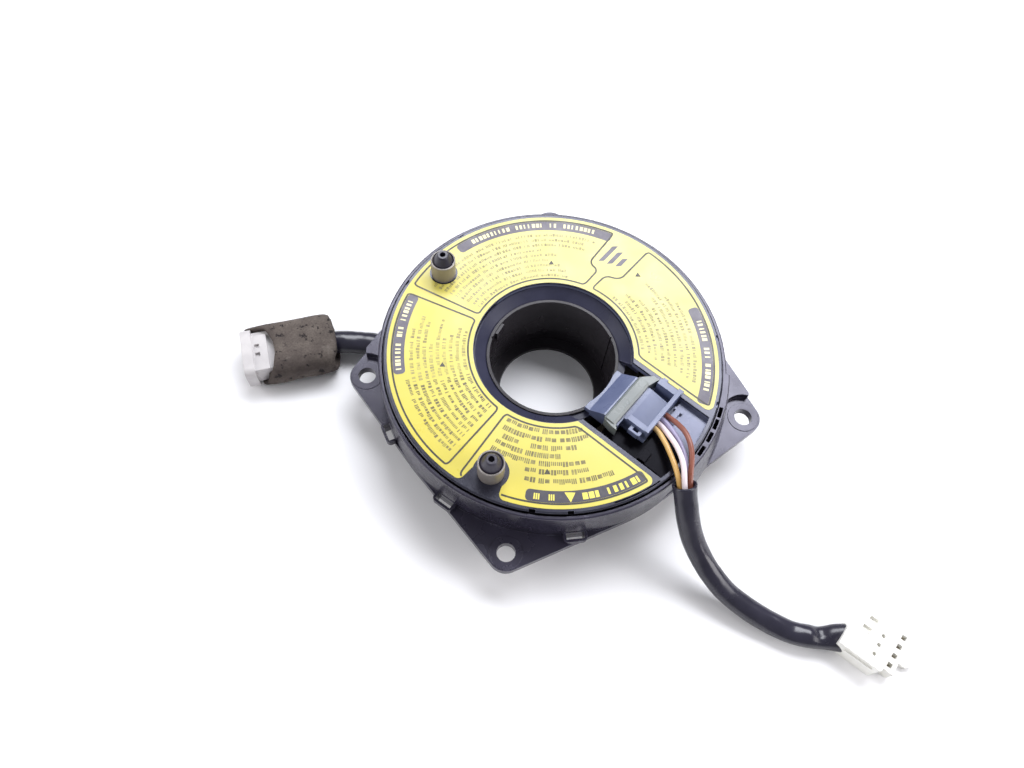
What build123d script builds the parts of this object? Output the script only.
# Steering clock spring. A rotor that turns with the steering wheel sits in a stator that is
# screwed to the column, and a coiled flat cable joins their circuits.
# Z is the bore axis with the wheel on +Z, X = Y = 0 on the axis, Z = 0 the rear end. Sizes in mm.
from math import acos, cos, degrees, pi, radians, sin, tan
import os

from build123d import *

os.makedirs("parts", exist_ok=True)

# ---------------------------------------------------------------- driving sizes
total_h = 30.0          # rear end to the label's face
bore_r = 20.9           # clear bore for the column
throat_r = 16.9         # lip at the rear end of the bore
run_gap = 0.4           # running gap between rotor and stator
seat_gap = 0.05         # gap between pieces that are clipped or glued together

rotor_r = 55.6          # rotor disc, outer
disc_in_r = 26.2        # rotor disc, inner edge
disc_t = 2.4
label_t = 0.1
label_edge = 1.4        # rotor rim left bare outside the label

wall_t = 1.2            # stator outer wall
wall_top = 28.5
floor_z = 10.5          # underside of the stator floor and ears
floor_t = 1.6
seat_z = 13.5           # face that the screws clamp
web_z = 16.0            # raised web of each ear

screw_hole_r = 2.95
ear_tip_r = 5.8
boss_r = 5.2
boss_h = 0.2
bolt_centre = (2.4, -0.5)
ear_angles = {"left": 181.6, "front": 254.6, "right": 346.6, "back": 90.6}
raised_sides = {"left": (-1,), "front": (), "right": (1,), "back": (-1, 1)}

window_angles = (-155.6, -126.0, -83.5, 20.0, 56.0, 128.0)
window_w = 5.8          # along the wall
window_d = 2.1          # across it

hub_t = 2.3             # rotor hub tube
hub_bottom = 2.6
collar_t = 3.6          # stator collar round the hub

pocket_angle = -40.0    # where the connector sits
pocket_half = 13.4
shelf_drop = 2.4        # shelf below the label's face

pin_r = 4.15
pin_h = 7.5             # metal collar above the disc
boot_h = 3.0            # rubber tip above the collar
pin_angles = {"front": -115.1, "back": 141.6}

wire_d = 1.7
sleeve_d = 7.2
sleeve_wall = 0.7

terminal_w = 1.2        # blades of the lower circuit
terminal_t = 0.8
terminal_pitch = 2.6
terminal_y = 15.0       # middle of the row
terminal_in = -34.4     # X of the blades that hang in the terminal box

# ---------------------------------------------------------------- what follows from them
disc_top = total_h - label_t
disc_bottom = disc_top - disc_t
label_r = rotor_r - label_edge
case_in_r = rotor_r + run_gap
case_r = case_in_r + wall_t
floor_top = floor_z + floor_t
liner_r = bore_r + 1.0                  # bore liner, outer
hub_in_r = liner_r + seat_gap
hub_r = hub_in_r + hub_t
collar_in_r = hub_r + run_gap
collar_r = collar_in_r + collar_t
shelf_z = total_h - shelf_drop
bolt_r = case_r + 7.6                   # circle through the four screw holes
pin_circle = rotor_r - 8.4
pocket_inner = rotor_r - 13.4           # where the well ends and the shelf begins
pocket_outer = label_r - 0.2
terminal_out = 4.8 - case_in_r          # X of the blades that rise to the outer cable block
terminal_rows = [terminal_y + terminal_pitch * (i - 1.5) for i in range(4)]


def polar(radius, angle, z=None):
    """Point at a radius and an angle in degrees from +X."""
    flat = (radius * cos(radians(angle)), radius * sin(radians(angle)))
    return flat if z is None else (*flat, z)


def turned(z, angle, at=(0.0, 0.0)):
    """Level plane at height z whose X axis points along angle."""
    return Plane(origin=(at[0], at[1], z), x_dir=(*polar(1, angle), 0), z_dir=(0, 0, 1))


def sector(outer, inner, a0, a1, z0, z1):
    """Part of a ring from angle a0 to a1."""
    with BuildPart() as body:
        with BuildSketch(Plane.XY.offset(z0)):
            with BuildLine():
                Line(polar(inner, a0), polar(outer, a0))
                ThreePointArc(polar(outer, a0), polar(outer, (a0 + a1) / 2), polar(outer, a1))
                Line(polar(outer, a1), polar(inner, a1))
                ThreePointArc(polar(inner, a1), polar(inner, (a0 + a1) / 2), polar(inner, a0))
            make_face()
        extrude(amount=z1 - z0)
    return body.part


def pocket_frame(z=0.0):
    """Level plane of the connector pocket, X outward from the axis."""
    return turned(z, pocket_angle)


def rod(route, diameter, name):
    """Round cord along a route: straight runs joined by tangent arcs."""
    ends = [Vector(*p) for p in route]
    runs = [b - a for a, b in zip(ends, ends[1:])]
    radii = []
    for before, after in zip(runs, runs[1:]):
        half_turn = acos(min(1.0, before.dot(after) / before.length / after.length)) / 2
        radii.append(0.45 * min(before.length, after.length) / tan(half_turn))
    with BuildPart() as body:
        with BuildLine() as path:
            FilletPolyline(*route, radius=radii)
        with BuildSketch(Plane(origin=ends[0], z_dir=runs[0])):
            Circle(diameter / 2)
        sweep()
    length = sum(edge.length for edge in path.edges())
    share = body.part.volume / (length * pi * diameter**2 / 4)
    print(f"{name}: length {length:.1f}, volume share {share:.3f}, bends",
          [round(r / diameter, 1) for r in radii])
    return body.part


def hand_over(part, name):
    part.label = name
    export_step(part, f"parts/{name}.step")


# ---------------------------------------------------------------- stator housing
ear_holes = {
    name: (bolt_centre[0] + polar(bolt_r, a)[0], bolt_centre[1] + polar(bolt_r, a)[1])
    for name, a in ear_angles.items()
}
clip_out = case_r + 3.1      # outer face of the clip frames round the windows
comb_from, comb_to = -46.0, -7.0
comb_foot = case_r + 3.8     # the wall swells out here towards its foot
clip_h = 2.2
comb_slots = (-21.6, -26.2, -31.3, -37.0)


def ear_plate(hole, z0, z1):
    """Plate whose outline is tangent to the housing and to the tip round one screw hole."""
    with BuildPart() as body:
        with BuildSketch(Plane.XY.offset(z0)):
            Circle(case_r)
            with Locations(hole):
                Circle(ear_tip_r)
            make_hull()
        extrude(amount=z1 - z0)
        with BuildSketch(Plane.XY.offset(z0)):
            Circle(case_in_r)
        extrude(amount=z1 - z0, mode=Mode.SUBTRACT)
    return body.part


with BuildPart() as stator_housing:
    with BuildSketch(Plane.XZ):
        with BuildLine():
            Polyline(
                (collar_in_r, floor_z), (case_r, floor_z), (case_r, wall_top),
                (case_in_r, wall_top), (case_in_r, floor_top), (collar_in_r, floor_top),
                close=True,
            )
        make_face()
    revolve(axis=Axis.Z)
    # swollen wall beside the connector pocket
    with BuildSketch(Plane(origin=(0, 0, 0), x_dir=(*polar(1, comb_from), 0),
                           z_dir=(*polar(1, comb_from - 90), 0))):
        with BuildLine():
            Polyline(
                (case_in_r + 0.2, seat_z), (comb_foot, seat_z), (case_r + 2.6, wall_top - 7.0),
                (case_r + 1.1, wall_top - 0.4), (case_r + 0.7, wall_top),
                (case_in_r + 0.2, wall_top), close=True,
            )
        make_face()
    revolve(axis=Axis.Z, revolution_arc=comb_to - comb_from)
    # four ears: a tangent plate, a raised web on it and a boss round each screw hole
    for name, hole in ear_holes.items():
        add(ear_plate(hole, floor_z, seat_z))
    for name, hole in ear_holes.items():
        for side in raised_sides[name]:
            with BuildPart(mode=Mode.PRIVATE) as web:
                add(ear_plate(hole, seat_z, web_z))
                with BuildSketch(Plane.XY.offset(seat_z)):
                    with Locations(hole):
                        Circle(boss_r + 2.2)
                extrude(amount=web_z - seat_z, mode=Mode.SUBTRACT)
                with BuildSketch(turned(seat_z, ear_angles[name], hole)):
                    with Locations((case_r / 2 + 0.5, 0)):
                        Rectangle(case_r, 2 * case_r)
                    with Locations((0, -case_r * side)):
                        Rectangle(3 * case_r, 2 * case_r)
                extrude(amount=web_z - seat_z, mode=Mode.SUBTRACT)
            add(web.part)
    for hole in ear_holes.values():
        with BuildSketch(Plane.XY.offset(seat_z)):
            with Locations(hole):
                Circle(boss_r)
        extrude(amount=boss_h)
    # clip frames with a window each, open from above to below
    for angle in window_angles:
        with BuildSketch(turned(web_z - clip_h, angle)):
            with Locations(((case_in_r + clip_out) / 2 + 0.3, 0)):
                RectangleRounded(clip_out - case_in_r - 0.6, window_w + 1.7, 1.4)
        extrude(amount=clip_h)
    for angle in window_angles:
        with BuildSketch(turned(floor_z, angle)):
            with Locations((case_r + window_d / 2 + 0.15, 0)):
                Rectangle(window_d, window_w)
        extrude(amount=web_z - floor_z, mode=Mode.SUBTRACT)
    # comb of openings along the swollen wall
    for angle in comb_slots:
        add(sector(case_r + 0.3, case_in_r + 0.3, angle - 1.9, angle + 1.9, wall_top - 5.0,
                   wall_top), mode=Mode.SUBTRACT)
    # screw holes
    for hole in ear_holes.values():
        with Locations((*hole, seat_z + boss_h)):
            Hole(screw_hole_r, depth=seat_z + boss_h - floor_z)
    # slots for the four terminals that pass down through the floor
    for side in terminal_rows:
        with BuildSketch(Plane.XY.offset(floor_z)):
            with Locations((terminal_out, side)):
                Rectangle(terminal_t + 0.3, terminal_w + 0.3)
        extrude(amount=floor_t, mode=Mode.SUBTRACT)
    rim = stator_housing.edges().filter_by(GeomType.CIRCLE).group_by(Axis.Z)[-1]
    fillet(rim.filter_by(lambda e: abs(e.radius - case_r) < 0.01), radius=0.5)
hand_over(stator_housing.part, "stator_housing")

# ---------------------------------------------------------------- rear cover and its terminal box
cover_t = 1.9
cover_r = case_in_r - 1.5
cover_z = floor_z - cover_t
box_from, box_to = -40.6, -27.0      # terminal box, along X
box_half = 8.8                       # and across it, about the terminal row
box_wall = 1.6
box_z = 0.4
lid_t = 1.4
exit_z = sleeve_d / 2 + 0.55
catch_r = hub_r + 2.0                # flange of the liner that holds the rotor down
cavity_from = box_from + box_wall
cavity_to = -collar_r - 1.2
cavity_top = cover_z - 0.4

with BuildPart() as rear_cover:
    with BuildSketch(Plane.XY.offset(cover_z)):
        Circle(cover_r)
        Circle(collar_in_r, mode=Mode.SUBTRACT)
    extrude(amount=cover_t)
    with BuildSketch(Plane.XY):
        Circle(collar_r)
        Circle(collar_in_r, mode=Mode.SUBTRACT)
    extrude(amount=cover_z)
    # ribs that stiffen the plate, clear of the terminal box
    for step in range(9):
        with BuildSketch(turned(cover_z - 3.0, 182 + 35 * step)):
            with Locations(((collar_r + cover_r) / 2 - 0.5, 0)):
                Rectangle(cover_r - collar_r, 1.4)
        extrude(amount=3.0)
    with BuildSketch(Plane.XY.offset(cover_z - 2.0)):
        Circle(cover_r)
        Circle(cover_r - 1.4, mode=Mode.SUBTRACT)
    extrude(amount=2.0)
    # way out for the lower lead, then the terminal box
    with BuildSketch(Plane.XY.offset(cover_z - 3.0)):
        with Locations((box_from - 10.0, terminal_y)):
            Rectangle(20.0, sleeve_d + 2.4)
    extrude(amount=3.0, mode=Mode.SUBTRACT)
    with BuildSketch(Plane.XY.offset(box_z + lid_t)):
        with Locations(((box_from + box_to) / 2, terminal_y)):
            Rectangle(box_to - box_from, 2 * box_half)
    extrude(amount=cover_z - box_z - lid_t)
    with BuildSketch(Plane.XY.offset(box_z + lid_t)):
        with Locations(((cavity_from + cavity_to) / 2, terminal_y)):
            Rectangle(cavity_to - cavity_from, 2 * (box_half - box_wall))
    extrude(amount=cavity_top - box_z - lid_t, mode=Mode.SUBTRACT)
    # clear the hub, then step the foot of the collar back for the flange of the liner
    with BuildSketch(Plane.XY):
        Circle(collar_in_r)
    extrude(amount=floor_z, mode=Mode.SUBTRACT)
    with BuildSketch(Plane.XY):
        Circle(catch_r + run_gap)
    extrude(amount=hub_bottom + run_gap, mode=Mode.SUBTRACT)
    # grooves and slots that hold the terminals
    for side in terminal_rows:
        with BuildSketch(Plane.XY.offset(floor_z - terminal_t)):
            with Locations(((terminal_out + terminal_in) / 2, side)):
                Rectangle(terminal_in - terminal_out + terminal_t + 0.2, terminal_w + 0.2)
        extrude(amount=terminal_t, mode=Mode.SUBTRACT)
        with BuildSketch(Plane.XY.offset(cavity_top - 1.0)):
            with Locations((terminal_in, side)):
                Rectangle(terminal_t + 0.2, terminal_w + 0.2)
        extrude(amount=floor_z - cavity_top + 1.0, mode=Mode.SUBTRACT)
    with Locations(Plane(origin=(box_from, terminal_y, exit_z), z_dir=(-1, 0, 0))):
        Hole(sleeve_d / 2 - 1.2, depth=box_wall)
hand_over(rear_cover.part, "rear_cover")

with BuildPart() as terminal_lid:
    with BuildSketch(Plane.XY.offset(box_z)):
        with Locations(((box_from + box_to) / 2, terminal_y)):
            Rectangle(box_to - box_from, 2 * box_half)
        Circle(collar_r + 0.2, mode=Mode.SUBTRACT)
    extrude(amount=lid_t)
    with BuildSketch(Plane.XY.offset(box_z + lid_t)):
        with Locations(((cavity_from + cavity_to) / 2, terminal_y)):
            Rectangle(cavity_to - cavity_from - 0.2, 2 * (box_half - box_wall) - 0.2)
            Rectangle(cavity_to - cavity_from - 2.0, 2 * (box_half - box_wall) - 2.0,
                      mode=Mode.SUBTRACT)
        with Locations((cavity_from, terminal_y)):
            Rectangle(4.0, sleeve_d, mode=Mode.SUBTRACT)
    extrude(amount=1.0)
hand_over(terminal_lid.part, "terminal_lid")

for number, side in enumerate(terminal_rows, start=1):
    with BuildPart() as terminal:
        with BuildSketch(Plane(origin=(0, side, 0), x_dir=(1, 0, 0), z_dir=(0, -1, 0))):
            with BuildLine():
                Polyline(
                    (terminal_out - terminal_t / 2, floor_z - terminal_t),
                    (terminal_in - terminal_t / 2, floor_z - terminal_t),
                    (terminal_in - terminal_t / 2, cavity_top - 4.0),
                    (terminal_in + terminal_t / 2, cavity_top - 4.0),
                    (terminal_in + terminal_t / 2, floor_z),
                    (terminal_out + terminal_t / 2, floor_z),
                    (terminal_out + terminal_t / 2, floor_top + 3.0),
                    (terminal_out - terminal_t / 2, floor_top + 3.0),
                    close=True,
                )
            make_face()
        extrude(amount=terminal_w / 2, both=True)
    hand_over(terminal.part, f"lower_terminal_{number}")

# ---------------------------------------------------------------- cable blocks, flat cable, slide sheets
cable_low = floor_top + 1.4
cable_high = disc_bottom - 2.4
cable_t = 0.4
cable_turns = 8
cable_in = collar_r + 1.9            # innermost radius of the spiral
cable_out = case_in_r - 2.3
cable_step = (cable_out - cable_in) / cable_turns
cable_gap = 0.54                     # between the outer cable block and the turn inside it
outer_from, outer_to = 152.0, 174.0  # outer cable block, angles
outer_in = cable_out - cable_step + cable_t / 2 + cable_gap
cable_start = outer_from - 0.6       # angle where it begins and ends

with BuildPart() as outer_cable_block:
    add(sector(case_in_r - 0.1, outer_in, outer_from, outer_to, floor_top, cable_high - 0.4))
    for side in terminal_rows:
        with BuildSketch(Plane.XY.offset(floor_top)):
            with Locations((terminal_out, side)):
                Rectangle(terminal_t + 0.2, terminal_w + 0.2)
        extrude(amount=3.0, mode=Mode.SUBTRACT)
hand_over(outer_cable_block.part, "outer_cable_block")

with BuildPart() as lower_slide_sheet:
    with BuildSketch(Plane.XY.offset(floor_top)):
        Circle(case_in_r - 0.3)
        Circle(collar_in_r + 0.6, mode=Mode.SUBTRACT)
    extrude(amount=0.3)
    add(sector(case_r, outer_in - 0.3, outer_from - 0.5, outer_to + 0.5, floor_top,
               floor_top + 0.3), mode=Mode.SUBTRACT)
hand_over(lower_slide_sheet.part, "lower_slide_sheet")

inner_from, inner_to = cable_start - 14.0, cable_start + 14.0
with BuildPart() as inner_cable_block:
    add(sector(cable_in - cable_t / 2 - 0.05, hub_r + 0.05, inner_from, inner_to,
               floor_top + 0.8, cable_high + 0.4))
    fillet(inner_cable_block.edges().filter_by(Axis.Z).group_by(
        SortBy.DISTANCE)[-1], radius=0.8)
hand_over(inner_cable_block.part, "inner_cable_block")


def winding(offset):
    """Points of half turns whose centres alternate, so that each is tangent to the next."""
    step = cable_step / 2
    along = Vector(*polar(1, cable_start))
    across = Vector(*polar(1, cable_start + 90))
    points = [along * (cable_in + offset)]
    for i in range(2 * cable_turns):
        way = 1 if i % 2 == 0 else -1
        centre = along * (-way * step / 2)
        radius = cable_in + step / 2 + step * i + offset
        points += [centre + across * (way * radius), centre - along * (way * radius)]
    return points


with BuildPart() as flat_cable:
    with BuildSketch(Plane.XY.offset(cable_low)):
        with BuildLine():
            for offset in (-cable_t / 2, cable_t / 2):
                turns = winding(offset)
                for i in range(0, len(turns) - 1, 2):
                    ThreePointArc(turns[i], turns[i + 1], turns[i + 2])
            Line(winding(-cable_t / 2)[0], winding(cable_t / 2)[0])
            Line(winding(-cable_t / 2)[-1], winding(cable_t / 2)[-1])
        make_face()
    extrude(amount=cable_high - cable_low)
hand_over(flat_cable.part, "flat_cable")

# ---------------------------------------------------------------- rotor disc
rim_slit = 0.4
nick_angles = (-98.0, -86.0, -20.0, 6.0, 125.0, 153.0)
pin_places = {name: polar(pin_circle, a) for name, a in pin_angles.items()}
pin_spigot_r = 2.6
tray_z = cable_high + 0.3
tray_t = 0.8
tray_from = disc_in_r + 2.8             # its inner edge, clear of the hub's flange
pin_gap = 0.6                           # bare ring round the back pin
notch_l = label_r - pin_circle + 2.4    # notch of the printed face, from the front pin outward

with BuildPart() as rotor_disc:
    with BuildSketch(Plane.XY.offset(disc_bottom)):
        Circle(rotor_r)
        Circle(disc_in_r, mode=Mode.SUBTRACT)
    extrude(amount=disc_t)
    with BuildSketch(Plane.XY.offset(disc_bottom - 1.0)):
        Circle(rotor_r)
        Circle(rotor_r - 1.2, mode=Mode.SUBTRACT)
    extrude(amount=1.0)
    top_rim = rotor_disc.edges().filter_by(GeomType.CIRCLE).group_by(Axis.Z)[-1]
    fillet(top_rim.sort_by(SortBy.RADIUS)[-1], radius=0.5)
    # tray under the pocket, then the shelf and the well in it
    with BuildSketch(pocket_frame(tray_z)):
        with Locations(((tray_from + rotor_r) / 2, 0)):
            Rectangle(rotor_r - tray_from, 2 * pocket_half + 3.0)
        Circle(rotor_r - 0.6, mode=Mode.INTERSECT)
    extrude(amount=disc_bottom - tray_z + 0.2)
    with BuildSketch(pocket_frame(shelf_z)):
        with Locations((pocket_inner + rotor_r / 2 - 2.0, 0)):
            Rectangle(rotor_r, 2 * pocket_half)
        Circle(pocket_outer + 0.1, mode=Mode.INTERSECT)
    extrude(amount=disc_t, mode=Mode.SUBTRACT)
    with BuildSketch(pocket_frame(tray_z + tray_t)):
        with Locations((pocket_inner / 2 + 5.0, 0)):
            Rectangle(pocket_inner - 10.0, 2 * pocket_half)
    extrude(amount=disc_t + 4.0, mode=Mode.SUBTRACT)
    # bracket, rest and groove on the shelf
    with BuildSketch(pocket_frame(shelf_z)):
        with Locations((pocket_inner + 1.3, 7.2)):
            Rectangle(1.8, 6.0)
        with Locations((pocket_inner + 1.3, 4.7), (pocket_inner + 1.3, 9.7)):
            Rectangle(3.2, 1.0)
        with Locations((pocket_inner + 2.1, -10.0)):
            Rectangle(2.6, 4.0)
    extrude(amount=1.1)
    with BuildSketch(pocket_frame(shelf_z - 0.6)):
        with Locations((pocket_inner + 5.0, 1.0 - pocket_half)):
            Rectangle(8.6, 0.7)
    extrude(amount=0.6, mode=Mode.SUBTRACT)
    # nicks and a slit round the rim, and holes for the pins
    for angle in nick_angles:
        with BuildSketch(turned(disc_top - 1.2, angle)):
            with Locations((rotor_r, 0)):
                Rectangle(1.6, 2.0)
        extrude(amount=2.0, mode=Mode.SUBTRACT)
    add(sector(label_r + 0.3 + rim_slit, label_r + 0.3, -72.0, -55.0, disc_top - 1.2, disc_top),
        mode=Mode.SUBTRACT)
    for place in pin_places.values():
        with Locations((*place, disc_top)):
            Hole(pin_spigot_r + seat_gap, depth=disc_t)
hand_over(rotor_disc.part, "rotor_disc")

# printed face, with the pocket and the seats of the pins left open
with BuildPart() as face_sheet:
    with BuildSketch(Plane.XY.offset(disc_top)):
        Circle(label_r)
        Circle(disc_in_r + 0.2, mode=Mode.SUBTRACT)
        with Locations(pin_places["back"]):
            Circle(pin_r + pin_gap, mode=Mode.SUBTRACT)
        with Locations(pin_places["front"]):
            Circle(pin_r + 1.5, mode=Mode.SUBTRACT)
    extrude(amount=label_t)
    with BuildSketch(pocket_frame(disc_top)):
        with Locations((rotor_r / 2 + 5.0, 0)):
            Rectangle(rotor_r, 2 * pocket_half + 3.2)
    extrude(amount=label_t, mode=Mode.SUBTRACT)
    with BuildSketch(turned(disc_top, pin_angles["front"], pin_places["front"])):
        with BuildLine():
            Polyline((-1.2, -4.9), (notch_l, -8.4), (notch_l, 5.9), (3.5, 5.0), (-0.8, 5.0),
                     close=True)
        make_face()
    extrude(amount=label_t, mode=Mode.SUBTRACT)
    rim_corners = face_sheet.edges().filter_by(Axis.Z).filter_by(
        lambda e: abs(Vector(e.center().X, e.center().Y, 0).length - label_r) < 0.1)
    fillet(rim_corners, radius=2.0)
hand_over(face_sheet.part, "face_sheet")

# ---------------------------------------------------------------- hub and bore liner
funnel_r = disc_in_r - 0.5
funnel_top = disc_bottom + 0.6
funnel_foot = disc_bottom - 2.0
flange_r = disc_in_r + 2.3
block_seat = disc_bottom - 2.4

with BuildPart() as rotor_hub:
    with BuildSketch(Plane.XZ):
        with BuildLine():
            Polyline(
                (hub_in_r, hub_bottom), (hub_r, hub_bottom), (hub_r, disc_bottom - 1.8),
                (flange_r, disc_bottom - 1.8), (flange_r, disc_bottom),
                (disc_in_r - seat_gap, disc_bottom), (disc_in_r - seat_gap, funnel_top),
                (funnel_r, funnel_top), (hub_in_r, funnel_foot), close=True,
            )
        make_face()
    revolve(axis=Axis.Z)
    with BuildSketch(pocket_frame(block_seat)):
        with Locations((30.0, 0)):
            Rectangle(60.0, 2 * pocket_half)
    extrude(amount=8.0, mode=Mode.SUBTRACT)
hand_over(rotor_hub.part, "rotor_hub")

liner_top = 26.0
key_angle = 150.0
seam_angles = (20.0, 162.0)
with BuildPart() as bore_liner:
    with BuildSketch(Plane.XZ):
        with BuildLine():
            Polyline(
                (throat_r, 0), (catch_r, 0), (catch_r, hub_bottom), (liner_r, hub_bottom),
                (liner_r, liner_top), (bore_r, liner_top), (bore_r, 1.6), (throat_r, 1.6),
                close=True,
            )
        make_face()
    revolve(axis=Axis.Z)
    # key below the top, and the seams
    with BuildSketch(turned(liner_top - 4.4, key_angle)):
        with Locations((bore_r - 0.3, 0)):
            Rectangle(1.6, 4.6)
    extrude(amount=4.0)
    for seam in seam_angles:
        with BuildSketch(turned(hub_bottom, seam)):
            with Locations((bore_r, 0)):
                Rectangle(0.8, 0.6)
        extrude(amount=liner_top, mode=Mode.SUBTRACT)
hand_over(bore_liner.part, "bore_liner")

upper_slide_t = 0.3
with BuildPart() as upper_slide_sheet:
    with BuildSketch(Plane.XY.offset(disc_bottom - upper_slide_t)):
        Circle(rotor_r - 1.6)
        Circle(flange_r + 0.3, mode=Mode.SUBTRACT)
    extrude(amount=upper_slide_t)
    with BuildSketch(pocket_frame(disc_bottom - upper_slide_t)):
        with Locations((rotor_r / 2 + 10.0, 0)):
            Rectangle(rotor_r, 2 * pocket_half + 4.0)
    extrude(amount=upper_slide_t, mode=Mode.SUBTRACT)
hand_over(upper_slide_sheet.part, "upper_slide_sheet")

# ---------------------------------------------------------------- centring pins
cup_t = 0.6
for name, place in pin_places.items():
    with BuildPart() as pin_collar:
        with BuildSketch(Plane(origin=(*place, 0), x_dir=(1, 0, 0), z_dir=(0, -1, 0))):
            with BuildLine():
                Polyline(
                    (0, disc_top - 1.6), (pin_spigot_r, disc_top - 1.6), (pin_spigot_r, disc_top),
                    (pin_r, disc_top), (pin_r, disc_top + pin_h), (pin_r - cup_t, disc_top + pin_h),
                    (pin_r - cup_t, disc_top + 1.5), (0, disc_top + 1.5), close=True,
                )
            make_face()
        revolve(axis=Axis((*place, 0), (0, 0, 1)))
        chamfer(pin_collar.edges().filter_by(GeomType.CIRCLE).group_by(Axis.Z)[-1], length=0.2)
    hand_over(pin_collar.part, f"pin_collar_{name}")
    tip_z = disc_top + pin_h + boot_h
    plug_r = pin_r - cup_t - seat_gap
    with BuildPart() as pin_boot:
        with BuildSketch(Plane(origin=(*place, 0), x_dir=(1, 0, 0), z_dir=(0, -1, 0))):
            with BuildLine():
                Polyline(
                    (0, disc_top + 1.5), (plug_r, disc_top + 1.5),
                    (plug_r, disc_top + pin_h - 0.7), (plug_r - 0.4, disc_top + pin_h + 0.2),
                    (2.0, tip_z - 0.5), (1.65, tip_z), (0.95, tip_z), (0.95, tip_z - 2.2),
                    (0, tip_z - 2.2), close=True,
                )
            make_face()
        revolve(axis=Axis((*place, 0), (0, 0, 1)))
    hand_over(pin_boot.part, f"pin_boot_{name}")

# ---------------------------------------------------------------- connector on the rotor
block_half = 8.7
block_back = disc_in_r + 1.2            # outward face of the facing block
tower_out = block_back + 4.8            # outward face of the tower under the lock
tower_top = 31.0
end_out = pocket_inner - 1.0            # outward face of the end wall
end_top = 33.0
saddle_out = end_out - 1.4
near_wall, far_wall = -5.3, 13.2
base_low = tray_z + tray_t + seat_gap
base_high = base_low + 1.2
wire_rows = (5.2, 3.3, 1.4, -0.6)    # brown, violet, white, orange
wire_exit_z = 29.5
side_plane = Plane(origin=(0, 0, 0), x_dir=(*polar(1, pocket_angle), 0),
                   z_dir=(*polar(1, pocket_angle - 90), 0))

with BuildPart() as connector_housing:
    # facing block that stands on the hub
    with BuildSketch(side_plane):
        with BuildLine():
            Polyline((hub_in_r, block_seat), (hub_in_r, liner_top), (bore_r - 1.0, liner_top),
                     (bore_r - 1.0, liner_top + 1.9), (bore_r + 0.8, liner_top + 2.0),
                     (block_back - 0.6, end_top - 0.9),
                     (block_back, end_top - 0.8), (block_back, block_seat), close=True)
        make_face()
    extrude(amount=block_half, both=True)
    # tower under the lock, base plate, saddle with its falling top
    with BuildSketch(pocket_frame(base_low)):
        with Locations(((block_back + tower_out) / 2, 0)):
            Rectangle(tower_out - block_back + 0.1, 2 * block_half)
    extrude(amount=tower_top - base_low)
    with BuildSketch(pocket_frame(base_low)):
        with Locations(((tray_from + end_out) / 2 + 0.1, (far_wall + near_wall - 0.7) / 2)):
            Rectangle(end_out - tray_from - 0.2, far_wall - near_wall + 0.7)
    extrude(amount=base_high - base_low)
    for reach in (8.5, near_wall):
        with BuildSketch(side_plane):
            with BuildLine():
                Polyline((tower_out - 0.1, base_low), (end_out, base_low), (end_out, 30.4),
                         (saddle_out, 30.5), (tower_out + 1.2, 31.5), (tower_out - 0.1, 31.6),
                         close=True)
            make_face()
        extrude(amount=-reach)
    for low, high, top in ((near_wall, near_wall + 2.0, 32.5), (far_wall - 2.2, far_wall, 32.8)):
        with BuildSketch(pocket_frame(base_low)):
            with Locations(((tower_out + 1.0 + end_out) / 2, (low + high) / 2)):
                Rectangle(end_out - tower_out - 1.0, high - low)
        extrude(amount=top - base_low)
    with BuildSketch(pocket_frame(base_low)):
        with Locations(((saddle_out + end_out) / 2, (near_wall + far_wall) / 2)):
            Rectangle(end_out - saddle_out, far_wall - near_wall)
    extrude(amount=end_top - base_low)
    # two tabs over the disc on the far side, two prongs on the near side
    with BuildSketch(pocket_frame(disc_top)):
        with Locations((tower_out + 2.2, far_wall + 0.8), (end_out - 0.8, far_wall + 0.8)):
            Rectangle(1.8, 1.9)
    extrude(amount=1.3)
    with BuildSketch(pocket_frame(29.0)):
        with Locations((end_out - 5.2, near_wall - 1.0), (end_out - 2.2, near_wall - 0.8)):
            Rectangle(1.1, 2.4)
        with Locations((end_out - 3.9, near_wall - 1.8)):
            Rectangle(3.4, 0.8)
    extrude(amount=2.4)
    # clear the column, then the wire bores
    with BuildSketch(Plane.XY.offset(block_seat)):
        Circle(bore_r)
    extrude(amount=12.0, mode=Mode.SUBTRACT)
    with BuildSketch(Plane(origin=(*polar(end_out, pocket_angle), 0),
                           x_dir=(*polar(1, pocket_angle + 90), 0),
                           z_dir=(*polar(1, pocket_angle), 0))):
        with Locations(*[(row, wire_exit_z) for row in wire_rows]):
            Circle(wire_d / 2 + 0.05)
    extrude(amount=-3.0, mode=Mode.SUBTRACT)
hand_over(connector_housing.part, "connector_housing")

lock_in = block_back + 0.1
lock_out = tower_out - 0.6
lock_side = block_half + 0.1
with BuildPart() as connector_lock:
    with BuildSketch(side_plane):
        with BuildLine():
            Polyline((lock_in, tower_top), (lock_in, 32.3), (lock_in + 0.7, 32.6),
                     (lock_out - 0.8, 32.4), (lock_out, 31.8), (lock_out, tower_top), close=True)
        make_face()
    extrude(amount=block_half + 0.6, both=True)
    # wings down both sides, the far one longer
    for side, reach in ((-1, 10.4), (1, 12.8)):
        with BuildSketch(pocket_frame(base_high + 0.1)):
            with BuildLine():
                Polyline((lock_in, side * lock_side), (lock_out, side * lock_side),
                         (tower_out + 0.8, side * reach), (tower_out - 1.4, side * reach),
                         (lock_in + 0.4, side * (lock_side + 0.9)), close=True)
            make_face()
        extrude(amount=31.9 - base_high)
hand_over(connector_lock.part, "connector_lock")

# ---------------------------------------------------------------- wires from the connector to the sleeve
def from_end(x, y, *z):
    """Point given from the middle of the connector's end wall, along the world axes."""
    end = polar(end_out, pocket_angle)
    return (end[0] + x, end[1] + y, *z)


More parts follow.
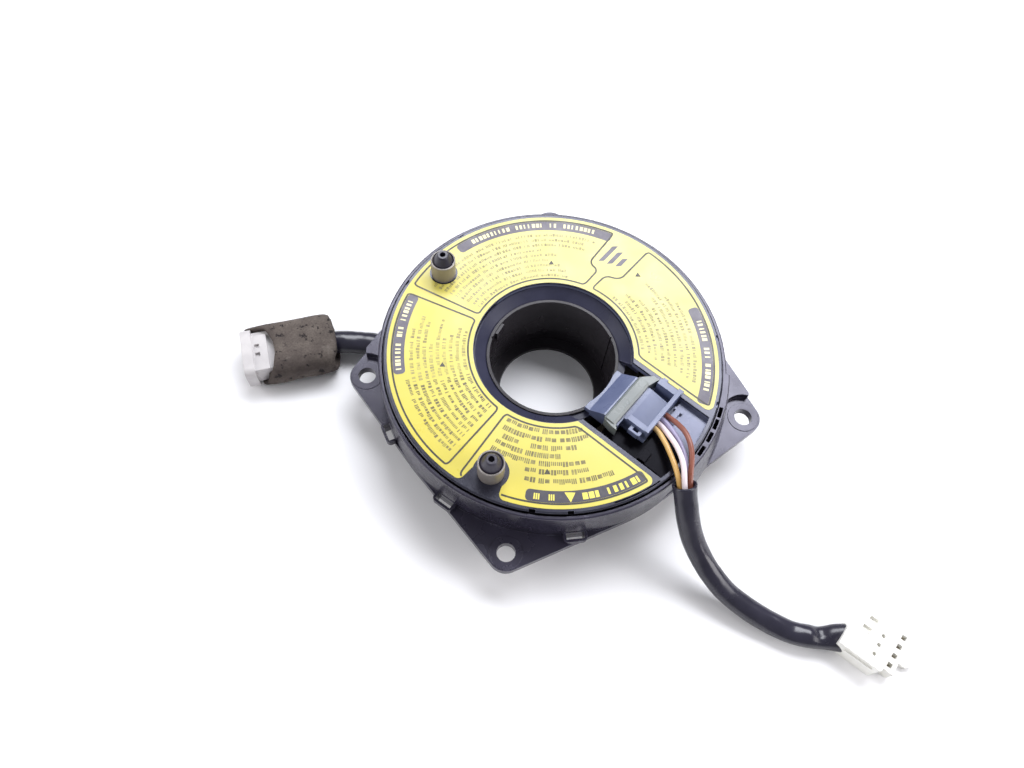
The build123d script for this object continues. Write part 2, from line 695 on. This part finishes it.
mouth = from_end(6.75, -19.91, 31.3)
mouth_way = (0.169, -0.688, -0.705)  # unit direction of the sleeve at its mouth
mouth_side = (0.971, 0.239, 0.0)
mouth_up = (0.168, -0.684, 0.709)
bundle_r = 1.4
bundle_angles = {"brown": 25, "violet": -65, "white": 115, "orange": 205}
wire_in = 7.6                        # how far the wires run inside the sleeve
wire_bends = {
    "brown": ((6.54, 0.08, 31.4), (8.64, -4.12, 33.2), (9.66, -10.42, 33.6)),
    "violet": ((4.90, -1.92, 30.6), (6.65, -6.35, 31.4), (7.94, -12.32, 31.83)),
    "white": ((3.64, -4.12, 31.4), (5.24, -8.92, 33.4), (6.34, -14.72, 34.6)),
    "orange": ((1.94, -5.49, 30.9), (3.34, -10.62, 31.7), (4.34, -15.12, 32.3)),
}
for row, (name, bends) in zip(wire_rows, wire_bends.items()):
    inner = tuple(pocket_frame(wire_exit_z).from_local_coords((end_out - 3.0, row, 0)))
    outlet = tuple(pocket_frame(wire_exit_z).from_local_coords((end_out + 0.6, row, 0)))
    spot = radians(bundle_angles[name])
    entry = tuple(m + bundle_r * (cos(spot) * s + sin(spot) * u)
                  for m, s, u in zip(mouth, mouth_side, mouth_up))
    depth = tuple(e + wire_in * w for e, w in zip(entry, mouth_way))
    route = [inner, outlet, *[from_end(*bend) for bend in bends], entry, depth]
    hand_over(rod(route, wire_d, f"wire_{name}"), f"wire_{name}")

# ---------------------------------------------------------------- sleeve to the plug
plug_place = from_end(65.65, -59.95)
plug_angle = -38.0
plug_l = 14.1
plug_w = 15.4
plug_h = 9.0
step_l, step_w, step_h = 4.4, 14.0, 5.0         # lower front of the plug, open to its terminals
step_shift = 2.2
slot_w = 1.5
slot_pitch = 3.4
slot_depth = 3.0

sleeve_bends = [
    (7.83, -24.30, 26.8), (9.19, -28.35, 22), (11.20, -32.43, 17),
    (15.64, -38.65, 11), (21.79, -45.47, 7), (28.22, -50.18, 5),
    (35.06, -54.40, 3.9), (41.64, -57.62, 3.8), (47.74, -59.47, 3.8),
    (53.74, -60.52, 3.85), (59.44, -61.02, 4),
]
sleeve_route = [mouth, *[from_end(*bend) for bend in sleeve_bends]]
with BuildPart() as upper_sleeve:
    add(rod(sleeve_route, sleeve_d, "upper_sleeve"))
    with BuildSketch(Plane(origin=mouth, z_dir=mouth_way)):
        Circle(sleeve_d / 2 - sleeve_wall)
    extrude(amount=wire_in + 0.4, mode=Mode.SUBTRACT)
    # the far end is slit by the corner of the plug
    with BuildSketch(turned(0, plug_angle, plug_place)):
        Rectangle(plug_l + 2 * seat_gap, plug_w + 2 * seat_gap)
    extrude(amount=plug_h, mode=Mode.SUBTRACT)
hand_over(upper_sleeve.part, "upper_sleeve")

slot_x = plug_l / 2 + step_l / 2 + 0.15
slot_rows = [step_shift + 0.3 + slot_pitch * (i - 1.5) for i in range(4)]
slot_floor = step_h - slot_depth
latch_l = 4.4
retainer_t = 1.0
retainer_w = step_w - 1.6
with BuildPart() as plug_housing:
    with BuildSketch(turned(0, plug_angle, plug_place)):
        Rectangle(plug_l, plug_w)
    extrude(amount=plug_h)
    fillet(plug_housing.edges().filter_by(Axis.Z).sort_by(Axis.X)[1:], radius=0.7)
    with BuildSketch(turned(0, plug_angle, plug_place)):
        with Locations(((plug_l + step_l) / 2 - 0.5, step_shift)):
            Rectangle(step_l + 1.0, step_w)
    extrude(amount=step_h)
    # rail along the near side and the tapered latch below the front
    with BuildSketch(turned(plug_h - 2.8, plug_angle, plug_place)):
        with Locations((0.3, -plug_w / 2)):
            Rectangle(plug_l - 5.0, 1.2)
    extrude(amount=1.0)
    with BuildSketch(turned(0, plug_angle, plug_place)):
        with BuildLine():
            Polyline((plug_l / 2 + step_l - 0.2, 0.6), (plug_l / 2 + step_l - 0.2, 7.8),
                     (plug_l / 2 + step_l + latch_l - 1.2, 7.4),
                     (plug_l / 2 + step_l + latch_l, 6.0), (plug_l / 2 + step_l + latch_l, 2.4),
                     (plug_l / 2 + step_l + latch_l - 1.2, 0.9), close=True)
        make_face()
    extrude(amount=1.9)
    # two windows and three inspection holes on top, four terminal slots in the step
    with BuildSketch(turned(plug_h - 1.0, plug_angle, plug_place)):
        with Locations((-1.6, 4.6), (-2.2, 1.0)):
            Rectangle(2.6, 2.2)
    extrude(amount=1.0, mode=Mode.SUBTRACT)
    with BuildSketch(turned(plug_h - 1.4, plug_angle, plug_place)):
        with Locations(*[(2.95, 2.4 - 3.25 * i) for i in range(3)]):
            Circle(0.6)
    extrude(amount=1.4, mode=Mode.SUBTRACT)
    with BuildSketch(turned(slot_floor, plug_angle, plug_place)):
        with Locations(*[(slot_x, row) for row in slot_rows]):
            Rectangle(slot_w, slot_w)
    extrude(amount=slot_depth, mode=Mode.SUBTRACT)
    # seat of the front retainer
    with BuildSketch(turned(2.6, plug_angle, plug_place)):
        with Locations((plug_l / 2 + step_l - retainer_t / 2, step_shift)):
            Rectangle(retainer_t, retainer_w)
    extrude(amount=1.2, mode=Mode.SUBTRACT)
hand_over(plug_housing.part, "plug_housing")

with BuildPart() as plug_retainer:
    with BuildSketch(turned(2.6, plug_angle, plug_place)):
        with Locations((plug_l / 2 + step_l - retainer_t / 2 + 0.2, step_shift)):
            Rectangle(retainer_t + 0.3, retainer_w - 0.1)
    extrude(amount=1.2)
hand_over(plug_retainer.part, "plug_retainer")

for number, row in enumerate(slot_rows, start=1):
    with BuildPart() as plug_terminal:
        with BuildSketch(turned(slot_floor, plug_angle, plug_place)):
            with Locations((slot_x, row)):
                Rectangle(slot_w - 0.2, slot_w - 0.2)
                Rectangle(0.7, 0.7, mode=Mode.SUBTRACT)
        extrude(amount=1.2)
    hand_over(plug_terminal.part, f"plug_terminal_{number}")

# ---------------------------------------------------------------- lower lead: sleeve, connector, foam wrap
foam_place = (-case_r - 32.9, 11.4)
foam_angle = 14.8
foam_l = 26.8
foam_w = 21.8
foam_h = 12.6
foam_t = 2.6
lower_len = 19.0
flange_t = 3.6
flange_w = 18.8
flange_h = 10.4
lower_mouth_w = 13.0
lower_mouth_h = 4.6
lower_mouth_d = 9.0
lower_w = foam_w - 2 * foam_t
lower_h = foam_h - 2 * foam_t
lower_back = foam_l / 2 - 8.0        # where the sleeve meets the connector, along the foam's axis
foam_frame = turned(0, foam_angle, foam_place)

foam_mouth = foam_frame.from_local_coords((-foam_l / 2, 0, 0))
lower_end = foam_frame.from_local_coords((lower_back, 0, foam_h / 2))
lower_turn = foam_frame.from_local_coords((lower_back + 9.0, 0, foam_h / 2))
with BuildPart() as lower_sleeve:
    add(rod([(box_from, terminal_y, exit_z), (box_from - 9.0, terminal_y, exit_z),
             (box_from - 20.5, terminal_y - 0.6, exit_z + 0.2),
             tuple(lower_turn), tuple(lower_end)], sleeve_d, "lower_sleeve"))
hand_over(lower_sleeve.part, "lower_sleeve")

with BuildPart() as foam_wrap:
    with BuildSketch(Plane(origin=foam_mouth, x_dir=(*polar(1, foam_angle + 90), 0),
                           z_dir=(*polar(1, foam_angle), 0))):
        with Locations((0, foam_h / 2)):
            RectangleRounded(foam_w, foam_h, 5.4)
            RectangleRounded(lower_w, lower_h, 1.0, mode=Mode.SUBTRACT)
    extrude(amount=foam_l)
    # the upper lip of the open end is worn back in an arc
    with BuildSketch(turned(foam_h / 2, foam_angle, foam_place)):
        with Locations((-foam_l / 2 - 9.8, -1.6)):
            Circle(17.2)
    extrude(amount=foam_h, mode=Mode.SUBTRACT)
hand_over(foam_wrap.part, "foam_wrap")

with BuildPart() as lower_connector:
    with BuildSketch(Plane(origin=lower_end, x_dir=(*polar(1, foam_angle - 90), 0),
                           z_dir=(*polar(1, foam_angle + 180), 0))):
        RectangleRounded(lower_w - 0.2, lower_h - 0.2, 0.9)
    extrude(amount=lower_len)
    # flange round the mouth
    with BuildSketch(Plane(origin=lower_end, x_dir=(*polar(1, foam_angle - 90), 0),
                           z_dir=(*polar(1, foam_angle + 180), 0)).offset(lower_len)):
        RectangleRounded(flange_w, flange_h, 2.6)
    extrude(amount=flange_t)
    with BuildSketch(Plane(origin=lower_end, x_dir=(*polar(1, foam_angle - 90), 0),
                           z_dir=(*polar(1, foam_angle + 180), 0)).offset(lower_len + flange_t)):
        RectangleRounded(lower_mouth_w, lower_mouth_h, 0.5)
    extrude(amount=-lower_mouth_d, mode=Mode.SUBTRACT)
    # raised block behind the flange, notched twice
    with BuildSketch(turned(foam_h / 2 + lower_h / 2 - 0.3, foam_angle, foam_place)):
        with Locations((lower_back - lower_len + 2.5, -1.1)):
            Rectangle(5.2, 14.0)
        with Locations((lower_back - lower_len + 1.6, 1.6), (lower_back - lower_len + 1.6, -1.8)):
            Rectangle(1.6, 1.6, mode=Mode.SUBTRACT)
    extrude(amount=1.1)
hand_over(lower_connector.part, "lower_connector")
